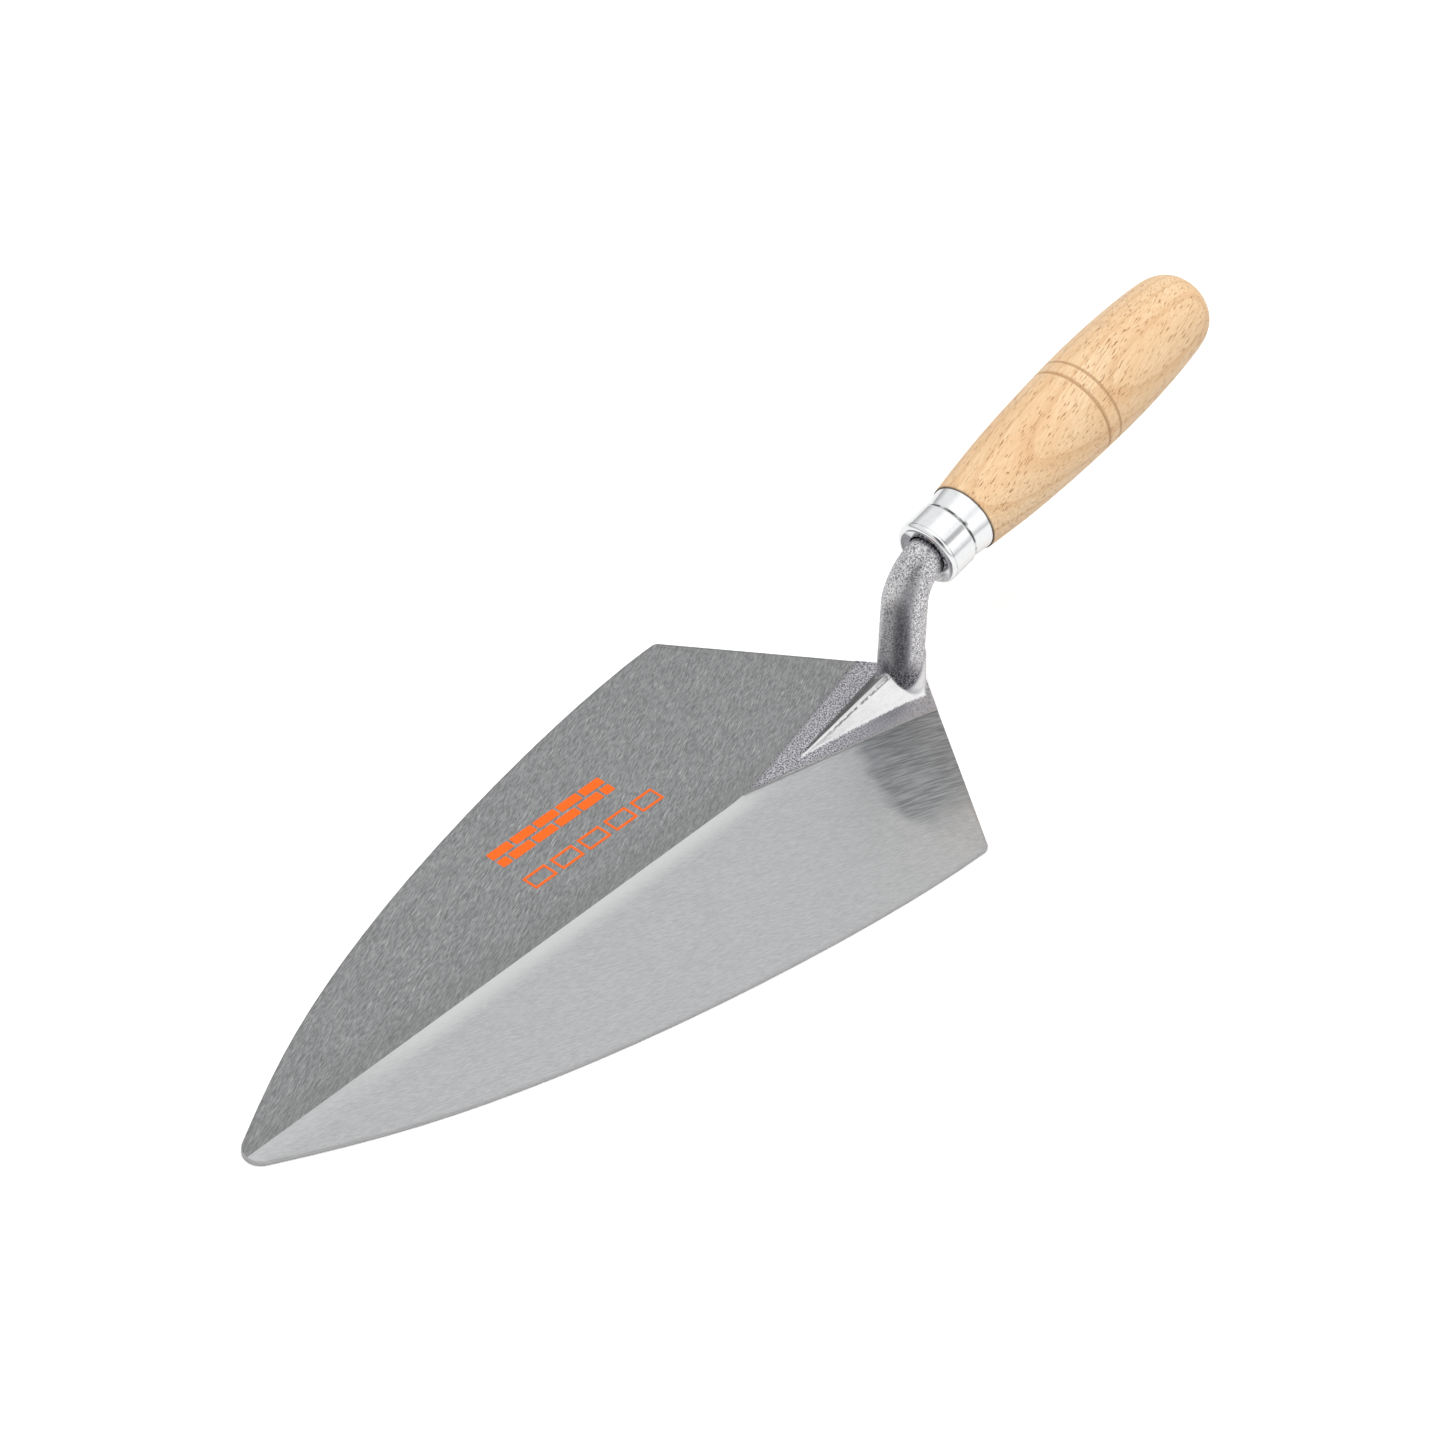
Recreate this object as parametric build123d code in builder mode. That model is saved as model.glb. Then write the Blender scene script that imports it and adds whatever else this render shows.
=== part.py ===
from build123d import *
import os
from math import cos, radians, sin, tan

# Brick trowel, 11 inch: a one-piece steel forging, a plated ferrule and a turned beech handle.
# Millimetres. The blade's flat underside lies on the XY plane, +X runs to the tip, +Z is up, and the
# origin is on the centre line below the shank's foot.

# ---- Blade
BLADE_LENGTH = 278.9
HEEL_X = -14.0                 # the heel's corner, behind the shank
SHOULDER_SET = 48.3            # the shoulders' distance ahead of the heel's corner
HALF_WIDTH = 61.9              # at the shoulders
EDGE_THICKNESS = 1.2           # at the shoulders
RIDGE_AT_HEEL = 2.2            # blade thickness on the centre line
RIDGE_AT_TIP = 1.7
HEEL_THICKNESS = 1.3           # at the heel's corner, where a bevel thins the edge
HEEL_BEVEL = 14.0              # the bevel's length on the centre line
SHOULDER_ROUND = 2.5
HEEL_ROUND = 5.0
TIP_ROUND = 5.0
TIP_TANGENT = 62.0             # degrees round the tip's circle, from +X, where the side curve starts
# Half width of the blade at distances ahead of the heel's corner
SIDE_STATIONS = [(80.0, 59.5), (120.0, 53.8), (160.0, 46.0), (200.0, 35.8), (240.0, 21.9)]
SIDE_START_SLOPE = -0.035

# ---- As-forged band that the grinding leaves round the spine
BAND_HEIGHT = 0.25             # above the ground faces
STOCK_OVER_BAND = 1.0          # what the sloping faces are cut from
BAND_LENGTH = 82.0             # from the heel's corner to the band's point
BAND_HALF_WIDTH = 15.4         # where it meets the heel's edges

# ---- Triangular spine: it runs under the shank and dies out towards the tip
SPINE_TIP = 57.5               # from the heel's corner
SPINE_ROOT = 6.0               # from the heel's corner, behind the shank's line
SPINE_ROOT_HALF_WIDTH = 9.5
SPINE_ROOT_HEIGHT = 12.3
SPINE_TIP_HALF_WIDTH = 0.4
SPINE_TIP_HEIGHT = 2.6
CREST_HALF_WIDTH = 0.76        # the narrow flat on the spine's top, at its root
CREST_TIP_HALF_WIDTH = 0.15
SPINE_BASE = 1.0               # the spine's foot, sunk in the blade
SPINE_HEEL_GAP = 2.1           # its end stays this far inside the blade's heel edges
SPINE_ROOT_OFFSET = 0.76       # hand grinding leaves the spine a little to the +Y side
SPINE_TIP_OFFSET = 1.2

# ---- Gooseneck shank
SHANK_FOOT_X = -3.4            # centre of the shank where its line meets the underside
SHANK_LEAN = 6.2               # degrees forward from upright
SHANK_KNEE_HEIGHT = 44.85      # where the shank's line and the handle's line would meet
BEND_RADIUS = 13.0
BEND_STEPS = 8                 # sections along the bend, where the shank slims to the neck
SHANK_RADIUS = 6.8
NECK_RADIUS = 5.85             # in the ferrule's mouth
FOOT_RADIUS = 7.7              # the flare where the shank meets the blade
FOOT_BOTTOM = 1.5              # the shank and its flare start inside the blade
FOOT_TOP_RADIUS = 6.2
FOOT_TOP = 14.0
FOOT_TOP_SLOPE = 0.08          # how fast the flare widens downwards at its top
FOOT_X = -3.3                  # the flare stands a little back and to +Y of the leaning shank
FOOT_Y = 0.4

# ---- Handle line: it rises backwards from the knee
HANDLE_RISE = 14.63            # degrees

# ---- Stations along the handle's line, from the knee
NECK_END = 12.8                # the round neck ends inside the wooden spigot
FERRULE_FRONT = 8.5
FERRULE_STEP = 18.5
FERRULE_WAIST = 20.4
FERRULE_REAR = 26.2
TANG_END = 98.0
BUTT_END = 135.4

# ---- Tang, square and tapered, driven into the handle
TANG_ROOT_SIDE = 7.8
TANG_TIP_SIDE = 4.2

# ---- Ferrule
FERRULE_WALL = 0.8
FERRULE_HOLE_RADIUS = 6.4
FERRULE_BARREL_RADIUS = 10.45
FERRULE_WAIST_RADIUS = 10.0
FERRULE_RIM_RADIUS = 10.85
FERRULE_STEP_LENGTH = 0.8
STEP_ROUND = 0.45
FRONT_DISH = 0.8               # how far the mouth lies behind the lip
LIP_RADIUS = 8.8               # where the lip rolls over into the dished front
LIP_ROUND = 1.6

# ---- Handle
SPIGOT_CLEARANCE = 0.05        # between the wood and the ferrule's inside
NECK_BORE_RADIUS = 6.1
NECK_BORE_END = 13.2
SHOULDER_RADIUS = 11.15        # the wood just behind the ferrule
SHOULDER_SLOPE = 0.13          # how fast it widens there
BELLY = [(46.2, 13.4), (68.5, 14.75), (90.0, 15.25), (107.0, 14.75), (120.5, 13.65), (130.5, 10.9)]
GROOVE_STATIONS = [76.3, 81.2]
GROOVE_SURFACE_RADIUS = 15.05  # the handle's radius between the grooves
GROOVE_TOOL_RADIUS = 0.9
GROOVE_DEPTH = 0.4

SAME_PLACE = 0.01              # two points or radii this close are the same

os.makedirs("parts", exist_ok=True)

HANDLE_DIRECTION = Vector(-cos(radians(HANDLE_RISE)), 0, sin(radians(HANDLE_RISE)))
KNEE_X = SHANK_FOOT_X + SHANK_KNEE_HEIGHT * tan(radians(SHANK_LEAN))
KNEE = Vector(KNEE_X, 0, SHANK_KNEE_HEIGHT)
# Profiles of the turned pieces: local X is the distance along the handle's line, local Y the radius
TURNING = Plane(origin=KNEE, x_dir=HANDLE_DIRECTION, z_dir=(0, 1, 0))
HANDLE_AXIS = Axis(KNEE, HANDLE_DIRECTION)


def across_handle(station):
    """The plane square to the handle's line at a distance from the knee."""
    return Plane(origin=KNEE + HANDLE_DIRECTION * station, x_dir=(0, 1, 0), z_dir=HANDLE_DIRECTION)


def across_blade(distance):
    """The plane square to the blade's centre line: local X is +Y, local Y is +Z."""
    return Plane(origin=(HEEL_X + distance, 0, 0), x_dir=(0, 1, 0), z_dir=(1, 0, 0))


def roof_plane(lift):
    """The ground face of the +Y half: through the ridge line and the shoulder, raised by lift."""
    heel = Vector(HEEL_X, 0, RIDGE_AT_HEEL + lift)
    tip = Vector(HEEL_X + BLADE_LENGTH, 0, RIDGE_AT_TIP + lift)
    shoulder = Vector(HEEL_X + SHOULDER_SET, HALF_WIDTH, EDGE_THICKNESS + lift)
    along = tip - heel
    return Plane(origin=heel, x_dir=along, z_dir=along.cross(shoulder - heel))


def heel_bevel(lift):
    """The bevel that thins the +Y half towards its heel edge, raised by lift."""
    corner = Vector(HEEL_X, 0, HEEL_THICKNESS + lift)
    shoulder = Vector(HEEL_X + SHOULDER_SET, HALF_WIDTH, EDGE_THICKNESS + lift)
    ridge = Vector(HEEL_X + HEEL_BEVEL, 0, RIDGE_AT_HEEL + lift)
    along = shoulder - corner
    return Plane(origin=corner, x_dir=along, z_dir=(ridge - corner).cross(along))


def heel_wall(side, gap):
    """The upright plane a gap inside the heel's edge, on the +Y or -Y side, facing out of the blade."""
    wall = Plane(
        origin=(HEEL_X, 0, 0),
        x_dir=(SHOULDER_SET, side * HALF_WIDTH, 0),
        z_dir=(-HALF_WIDTH, side * SHOULDER_SET, 0),
    )
    return wall.offset(-gap)


def ring(part, station, radius):
    """The circular edge of a turned part at a distance from the knee."""
    centre = KNEE + HANDLE_DIRECTION * station
    return part.edges().filter_by(
        lambda edge: edge.geom_type == GeomType.CIRCLE
        and (edge.arc_center - centre).length < SAME_PLACE
        and abs(edge.radius - radius) < SAME_PLACE
    )


# ---- Blade and tang: one forging
# The +Y half of the blade comes first, and is mirrored once it has its ground face
tip_centre_x = HEEL_X + BLADE_LENGTH - TIP_ROUND
tip_start = (
    tip_centre_x + TIP_ROUND * cos(radians(TIP_TANGENT)),
    TIP_ROUND * sin(radians(TIP_TANGENT)),
)
tip_slope = (sin(radians(TIP_TANGENT)), -cos(radians(TIP_TANGENT)))
shoulder_point = (HEEL_X + SHOULDER_SET, HALF_WIDTH)
side_points = [(HEEL_X + distance, half_width) for distance, half_width in SIDE_STATIONS]
roof_height = RIDGE_AT_HEEL + BAND_HEIGHT + STOCK_OVER_BAND

with BuildPart() as blade_half:
    with BuildSketch() as half_outline:
        with BuildLine():
            Line((HEEL_X, 0), shoulder_point)
            Spline(
                shoulder_point,
                *side_points,
                tip_start,
                tangents=[(1, SIDE_START_SLOPE), tip_slope],
            )
            CenterArc((tip_centre_x, 0), TIP_ROUND, 0, TIP_TANGENT)
            Line((HEEL_X + BLADE_LENGTH, 0), (HEEL_X, 0))
        make_face()
        fillet(half_outline.vertices().sort_by(Axis.Y)[-1], radius=SHOULDER_ROUND)
    extrude(amount=roof_height)
    split(bisect_by=roof_plane(0), keep=Keep.BOTTOM)
    split(bisect_by=heel_bevel(0), keep=Keep.BOTTOM)

with BuildPart() as band_half:
    with BuildSketch():
        with BuildLine():
            Polyline(
                (HEEL_X, 0),
                (HEEL_X + BAND_HALF_WIDTH * SHOULDER_SET / HALF_WIDTH, BAND_HALF_WIDTH),
                (HEEL_X + BAND_LENGTH, 0),
                close=True,
            )
        make_face()
    extrude(amount=roof_height)
    split(bisect_by=roof_plane(BAND_HEIGHT), keep=Keep.BOTTOM)
    split(bisect_by=heel_bevel(BAND_HEIGHT), keep=Keep.BOTTOM)

with BuildPart() as spine:
    spine_sections = [
        (SPINE_ROOT, SPINE_ROOT_OFFSET, SPINE_ROOT_HALF_WIDTH, CREST_HALF_WIDTH, SPINE_ROOT_HEIGHT),
        (SPINE_TIP, SPINE_TIP_OFFSET, SPINE_TIP_HALF_WIDTH, CREST_TIP_HALF_WIDTH, SPINE_TIP_HEIGHT),
    ]
    for distance, middle, base_half_width, crest_half_width, height in spine_sections:
        with BuildSketch(across_blade(distance)):
            Polygon(
                (middle - base_half_width, SPINE_BASE),
                (middle + base_half_width, SPINE_BASE),
                (middle + crest_half_width, height),
                (middle - crest_half_width, height),
                align=None,
            )
    loft(ruled=True)
    for side in (-1, 1):
        split(bisect_by=heel_wall(side, SPINE_HEEL_GAP), keep=Keep.BOTTOM)

with BuildPart() as shank:
    with BuildLine(Plane.XZ) as shank_line:
        FilletPolyline(
            (SHANK_FOOT_X + FOOT_BOTTOM * tan(radians(SHANK_LEAN)), FOOT_BOTTOM),
            (KNEE.X, KNEE.Z),
            (KNEE.X + NECK_END * HANDLE_DIRECTION.X, KNEE.Z + NECK_END * HANDLE_DIRECTION.Z),
            radius=BEND_RADIUS,
        )
    route = shank_line.wires()[0]
    upright = route.edges().sort_by(Axis.Z)[0].length
    with BuildSketch(Plane(origin=route @ 0, x_dir=(0, 1, 0), z_dir=route % 0)):
        Circle(SHANK_RADIUS)
    extrude(amount=upright)
    for step in range(BEND_STEPS + 1):
        share = step / BEND_STEPS
        place = (upright + share * (route.length - upright)) / route.length
        with BuildSketch(Plane(origin=route @ place, x_dir=(0, 1, 0), z_dir=route % place)):
            Circle(SHANK_RADIUS + share * (NECK_RADIUS - SHANK_RADIUS))
    loft()

with BuildPart() as foot:
    with BuildSketch(Plane.XZ.offset(-FOOT_Y)):
        with BuildLine():
            Polyline(
                (FOOT_X + FOOT_RADIUS, FOOT_BOTTOM),
                (FOOT_X, FOOT_BOTTOM),
                (FOOT_X, FOOT_TOP),
                (FOOT_X + FOOT_TOP_RADIUS, FOOT_TOP),
            )
            TangentArc(
                (FOOT_X + FOOT_TOP_RADIUS, FOOT_TOP),
                (FOOT_X + FOOT_RADIUS, FOOT_BOTTOM),
                tangent=(FOOT_TOP_SLOPE, -1),
            )
        make_face()
    revolve(axis=Axis((FOOT_X, FOOT_Y, 0), (0, 0, 1)))

with BuildPart() as tang:
    for station, side_length in [(NECK_END, TANG_ROOT_SIDE), (TANG_END, TANG_TIP_SIDE)]:
        with BuildSketch(across_handle(station)):
            Rectangle(side_length, side_length)
    loft(ruled=True)

with BuildPart() as blade_and_tang:
    add(blade_half.part)
    add(band_half.part)
    mirror(about=Plane.XZ)
    heel_corner = blade_and_tang.edges().filter_by(Axis.Z).sort_by(Axis.X)[0]
    fillet(heel_corner, radius=HEEL_ROUND)
    add(spine.part)
    add(shank.part)
    add(foot.part)
    add(tang.part)

# ---- Ferrule: a pressed cap, rolled over at the front and flared where it meets the wood
with BuildPart() as ferrule:
    with BuildSketch(TURNING):
        with BuildLine():
            Polyline(
                (FERRULE_FRONT + FRONT_DISH, FERRULE_HOLE_RADIUS),
                (FERRULE_FRONT, LIP_RADIUS),
                (FERRULE_FRONT, FERRULE_BARREL_RADIUS),
                (FERRULE_STEP, FERRULE_BARREL_RADIUS),
                (FERRULE_STEP + FERRULE_STEP_LENGTH, FERRULE_WAIST_RADIUS),
                (FERRULE_WAIST, FERRULE_WAIST_RADIUS),
                (FERRULE_REAR, FERRULE_RIM_RADIUS),
            )
            Polyline(
                (FERRULE_REAR, FERRULE_RIM_RADIUS),
                (FERRULE_REAR, FERRULE_RIM_RADIUS - FERRULE_WALL),
                (FERRULE_WAIST, FERRULE_WAIST_RADIUS - FERRULE_WALL),
                (FERRULE_FRONT + FRONT_DISH + FERRULE_WALL, FERRULE_WAIST_RADIUS - FERRULE_WALL),
                (FERRULE_FRONT + FRONT_DISH + FERRULE_WALL, FERRULE_HOLE_RADIUS),
                (FERRULE_FRONT + FRONT_DISH, FERRULE_HOLE_RADIUS),
            )
        make_face()
    revolve(axis=HANDLE_AXIS)
    fillet(ring(ferrule, FERRULE_FRONT, FERRULE_BARREL_RADIUS), radius=LIP_ROUND)
    fillet(ring(ferrule, FERRULE_STEP, FERRULE_BARREL_RADIUS), radius=STEP_ROUND)
    fillet(ring(ferrule, FERRULE_STEP + FERRULE_STEP_LENGTH, FERRULE_WAIST_RADIUS), radius=STEP_ROUND)

# ---- Handle: turned beech with a spigot in front, two grooves and a blind square hole for the tang
spigot_front = FERRULE_FRONT + FRONT_DISH + FERRULE_WALL + SPIGOT_CLEARANCE
spigot_radius = FERRULE_WAIST_RADIUS - FERRULE_WALL - SPIGOT_CLEARANCE
spigot_flare_radius = FERRULE_RIM_RADIUS - FERRULE_WALL - SPIGOT_CLEARANCE
with BuildPart() as handle:
    with BuildSketch(TURNING):
        with BuildLine():
            Polyline(
                (BUTT_END, 0),
                (spigot_front, 0),
                (spigot_front, spigot_radius),
                (FERRULE_WAIST, spigot_radius),
                (FERRULE_REAR, spigot_flare_radius),
                (FERRULE_REAR + SPIGOT_CLEARANCE, SHOULDER_RADIUS),
            )
            Spline(
                (FERRULE_REAR + SPIGOT_CLEARANCE, SHOULDER_RADIUS),
                *BELLY,
                (BUTT_END, 0),
                tangents=[(1, SHOULDER_SLOPE), (0, -1)],
            )
        make_face()
    revolve(axis=HANDLE_AXIS)
    with BuildSketch(TURNING):
        for station in GROOVE_STATIONS:
            with Locations((station, GROOVE_SURFACE_RADIUS + GROOVE_TOOL_RADIUS - GROOVE_DEPTH)):
                Circle(GROOVE_TOOL_RADIUS)
    revolve(axis=HANDLE_AXIS, mode=Mode.SUBTRACT)
    with BuildSketch(across_handle(spigot_front)):
        Circle(NECK_BORE_RADIUS)
    extrude(amount=NECK_BORE_END - spigot_front, mode=Mode.SUBTRACT)
    add(tang.part, mode=Mode.SUBTRACT)

blade_and_tang.part.label = "blade_and_tang"
ferrule.part.label = "ferrule"
handle.part.label = "handle"
export_step(blade_and_tang.part, "parts/blade_and_tang.step")
export_step(ferrule.part, "parts/ferrule.step")
export_step(handle.part, "parts/handle.step")
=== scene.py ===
"""Looks for the brick trowel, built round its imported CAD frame. Metres, in the row's frame."""

import math

import bmesh
import bpy
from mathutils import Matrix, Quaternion, Vector, noise


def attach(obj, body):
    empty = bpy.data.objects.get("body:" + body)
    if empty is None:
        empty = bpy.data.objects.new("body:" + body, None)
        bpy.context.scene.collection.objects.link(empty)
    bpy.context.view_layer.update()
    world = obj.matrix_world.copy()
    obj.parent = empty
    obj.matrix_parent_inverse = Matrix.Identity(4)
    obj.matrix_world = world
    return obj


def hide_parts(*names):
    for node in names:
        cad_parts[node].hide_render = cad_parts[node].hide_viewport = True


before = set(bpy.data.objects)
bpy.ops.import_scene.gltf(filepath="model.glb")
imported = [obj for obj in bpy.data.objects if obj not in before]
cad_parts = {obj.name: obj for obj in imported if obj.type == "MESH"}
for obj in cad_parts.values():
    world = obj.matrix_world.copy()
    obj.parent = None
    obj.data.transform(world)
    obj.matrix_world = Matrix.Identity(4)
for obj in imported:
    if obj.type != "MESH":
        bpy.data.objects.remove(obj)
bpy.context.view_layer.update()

MM = 0.001

# ---- The part's own facts, in millimetres
# The blade: its heel's corner, its widest point, and the as-forged band raised round the spine
HEEL_X = -14.0
SHOULDER = (34.3, 61.9)
BAND_LIFT = 0.25
BAND_TIP_X = 68.0
BAND_HEEL = (-1.98, 15.4)
RIM_WIDTH = 1.3
BROKEN_CORNER = 0.35
BEVEL_BLEND = 0.8    # the height gap over which ground face and heel bevel run together

# The spine's crest seen from above, and where its far face meets the band
SPINE_START, SPINE_END = (-8.0, 0.76), (43.5, 1.2)
CREST_DRIFT = (SPINE_END[1] - SPINE_START[1]) / (SPINE_END[0] - SPINE_START[0])
SPINE_SIDE_START, SPINE_SIDE_END = (-8.0, -7.65), (42.0, 0.9)

# The shank runs from its foot to the knee, and the handle from the knee backwards
KNEE = Vector((1.47, 0.0, 44.85))
HANDLE_RISE = math.radians(14.63)
HANDLE_LINE = Vector((-math.cos(HANDLE_RISE), 0.0, math.sin(HANDLE_RISE)))
SHANK_FOOT = Vector((-3.4, 0.0, 0.0))
SHANK_LINE = (KNEE - SHANK_FOOT).normalized()
SHANK_RADIUS = 6.8
DARK_REFLECTION_SIDE = Vector((0.80, 0.58, 0.12)).normalized()    # the shank gets a painted dark reflection on the side facing this way,
SHADED_SIDE = Vector((0.45, -0.89, 0.0))    # painted shade on this one
HIGHLIGHT_SIDE = Vector((0.98, -0.02, 0.15)).normalized()    # and a speckled painted highlight on this one

# Stations along the handle's line, counted from the knee
FERRULE_SEAMS = ((19.3, 0.7, 0.95), (26.2, 0.3, 0.6), (10.3, 0.25, 0.55))    # station, half width, strength of the painted shade
SPIGOT_STATION = 25.6
SHOULDER_STATION = 26.2
GROOVES = (76.3, 81.2)
GROOVE_HALF_WIDTH = 0.75

# The printed mark: the corner of its first brick, and the ink's thickness
MARK_CORNER = (138.0, -34.2)
INK_THICKNESS = 0.03

# Near black for painted shade on the handle where the ferrule covers it
SHADE_BLACK = (0.018, 0.018, 0.018, 1.0)
WHITE = (1.0, 1.0, 1.0, 1.0)


def roof(x, y):
    """Height of the blade's ground face."""
    return 2.2 - 0.001793 * (x - HEEL_X) - 0.014756 * abs(y)


def heel_bevel(x, y):
    """Height of the bevel that thins the blade towards its heel."""
    return 1.3 + 0.0643 * (x - HEEL_X) - 0.05179 * abs(y)


def ground_height(x, y):
    """Height of whichever ground surface is lower: the face or the heel bevel."""
    return min(roof(x, y), heel_bevel(x, y))


def band_top(x, y):
    """Height of the as-forged band's top."""
    return ground_height(x, y) + BAND_LIFT


def smoothstep(low, high, value):
    """Zero below low, one above high, eased between them. Low may be the larger."""
    share = min(max((value - low) / (high - low), 0.0), 1.0)
    return share * share * (3.0 - 2.0 * share)


# ---- Node trees
class Nodes:
    """A node tree, with a short call for each kind of node used here."""

    def __init__(self, tree):
        self.tree = tree

    def node(self, kind, inputs=None, **settings):
        """A new node with its settings, and values or links for its inputs."""
        made = self.tree.nodes.new(kind)
        for name, value in settings.items():
            setattr(made, name, value)
        for socket, value in (inputs or {}).items():
            self.feed(made.inputs[socket], value)
        return made

    def feed(self, socket, value):
        """Links the socket if the value is another socket, and sets it otherwise."""
        if isinstance(value, bpy.types.NodeSocket):
            self.tree.links.new(value, socket)
        else:
            socket.default_value = value

    def vector(self, operation, first, second):
        return self.node("ShaderNodeVectorMath", {0: first, 1: second}, operation=operation).outputs[0]

    def dot(self, first, second):
        made = self.node("ShaderNodeVectorMath", {0: first, 1: second}, operation="DOT_PRODUCT")
        return made.outputs["Value"]

    def math(self, operation, first, second=0.0):
        """One Math node, for an operation on one or two values."""
        return self.node("ShaderNodeMath", {0: first, 1: second}, operation=operation).outputs[0]

    def total(self, first, *others):
        """The values added up."""
        for other in others:
            first = self.math("ADD", first, other)
        return first

    def product(self, first, *others):
        """The values multiplied together."""
        for other in others:
            first = self.math("MULTIPLY", first, other)
        return first

    def apart(self, value, centre):
        """How far a value is from a centre, either way."""
        return self.math("ABSOLUTE", self.math("SUBTRACT", value, centre))

    def line(self, value, low, high, to_low=0.0, to_high=1.0, kind="LINEAR"):
        """A straight run between two values, level outside them."""
        values = {"Value": value, "From Min": low, "From Max": high, "To Min": to_low, "To Max": to_high}
        return self.node("ShaderNodeMapRange", values, interpolation_type=kind).outputs[0]

    def fade(self, *values):
        """The same run, eased at both ends."""
        return self.line(*values, kind="SMOOTHSTEP")

    def mix(self, share, first, second):
        """A colour that goes from the first to the second with the share."""
        made = self.node("ShaderNodeMix", data_type="RGBA")
        self.feed(made.inputs["Factor"], share)
        self.feed(made.inputs["A"], first)
        self.feed(made.inputs["B"], second)
        return made.outputs["Result"]

    def split(self, place):
        """The point's X, Y and Z."""
        return self.node("ShaderNodeSeparateXYZ", {0: place}).outputs

    def frame_of(self, place, *axes):
        """The point's distances along three directions."""
        along = [self.dot(place, axis) for axis in axes]
        return self.node("ShaderNodeCombineXYZ", {0: along[0], 1: along[1], 2: along[2]}).outputs[0]

    def beside(self, place, start, end):
        """The signed distance from a line seen from above, more on its left."""
        way = (Vector(end) - Vector(start)).normalized()
        left = Vector((-way.y, way.x, 0.0))
        return self.math("SUBTRACT", self.dot(place, left), left.dot(Vector((*start, 0.0))))

    def stretch(self, place, *sizes):
        """The point in cells of the given sizes."""
        return self.vector("MULTIPLY", place, tuple(1 / size for size in sizes))

    def noise(self, place, scale=1.0, detail=2.0, roughness=0.5):
        """Fractal noise about one half."""
        values = {"Vector": place, "Scale": scale, "Detail": detail, "Roughness": roughness}
        return self.node("ShaderNodeTexNoise", values).outputs["Fac"]

    def cells(self, place, *sizes, **settings):
        """Noise with features of about the given sizes."""
        return self.noise(self.stretch(place, *sizes), **settings)

    def to_camera(self):
        """One where the camera looks straight at a thing, and zero in its reflections and light."""
        return self.node("ShaderNodeLightPath").outputs["Is Camera Ray"]


class Surface(Nodes):
    """A material."""

    def __init__(self, name):
        self.material = bpy.data.materials.new(name)
        self.material.use_nodes = True
        super().__init__(self.material.node_tree)
        self.shader = self.tree.nodes["Principled BSDF"]

    def set(self, **values):
        """Shader inputs by name, with _ for a space."""
        for name, value in values.items():
            self.feed(self.shader.inputs[name.replace("_", " ")], value)

    def point(self):
        """The surface point in the row's frame, in millimetres."""
        place = self.node("ShaderNodeTexCoord").outputs["Object"]
        return self.node("ShaderNodeVectorMath", {0: place, "Scale": 1 / MM}, operation="SCALE").outputs[0]

    def attribute(self, name):
        """A share that the mesh carries at its points."""
        return self.node("ShaderNodeAttribute", attribute_name=name).outputs["Fac"]

    def bump(self, height, depth, normal=None):
        """Depth in millimetres for a height of one."""
        made = self.node("ShaderNodeBump", {"Height": height, "Distance": depth * MM, "Strength": 1.0})
        if normal:
            self.feed(made.inputs["Normal"], normal)
        return made.outputs[0]


# ---- Materials
def grey(level, warmth=0.0):
    """A linear grey, a little warm or, below zero, a little blue."""
    return (level * (1 + warmth), level, level * (1 - warmth), 1.0)


class GroundSteel(Surface):
    """A face ground by hand: short strokes at an angle from +X over a fine satin, with painted shade at the
    rim.
    """

    def __init__(self, name, angle, dark, light, spark):
        super().__init__(name)
        angle = math.radians(angle)
        along = Vector((math.cos(angle), math.sin(angle), 0.0))
        across = Vector((-math.sin(angle), math.cos(angle), 0.0))
        self.place = self.point()
        self.strokes = self.frame_of(self.place, along, across, (0.0, 0.0, 1.0))
        self.fine = self.cells(self.strokes, 1.9, 0.24, 3.0, detail=1.0, roughness=0.6)
        coarse = self.cells(self.strokes, 6.0, 0.9, 5.0)
        cloud = self.cells(self.place, 30.0, 30.0, 30.0)
        cuts = self.cells(self.strokes, 3.4, 0.27, 4.0, detail=0.0)
        level = self.total(self.product(self.fine, 0.9), self.product(coarse, 0.05))
        level = self.total(level, self.product(cloud, 0.05))
        tone = self.mix(self.line(level, 0.36, 0.64), grey(dark, -0.012), grey(light, -0.012))
        tone = self.mix(self.fade(cuts, 0.68, 0.80, 0.0, spark), tone, grey(min(light * 1.8, 0.9)))
        tone = self.mix(self.fade(cuts, 0.30, 0.20, 0.0, spark), tone, grey(dark * 0.5))
        # Painted shade: darker towards the outer rim, where the rounded edge turns from the light
        rim = self.math("POWER", self.attribute("rim"), 1.6)
        self.tone = self.mix(self.product(rim, 0.25), tone, grey(dark * 0.7))
        self.set(Metallic=1.0)


def far_half():
    """The -Y half: real grinding strokes, with painted shade: a darker grey than the near half, darker still
    beside the ridge.
    """
    # Painted shade: the far half's greys are lower than the near half's
    g = GroundSteel("ground_far", angle=20, dark=0.25, light=0.45, spark=0.4)
    y = g.split(g.place)["Y"]
    # Painted shade: darker beside the ridge
    tone = g.mix(g.fade(y, -12.0, -0.5, 0.0, 0.3), g.tone, grey(0.25))
    g.set(Base_Color=tone, Roughness=g.line(g.fine, 0.3, 0.7, 0.42, 0.54), Normal=g.bump(g.fine, 0.03))
    return g.material


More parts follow.
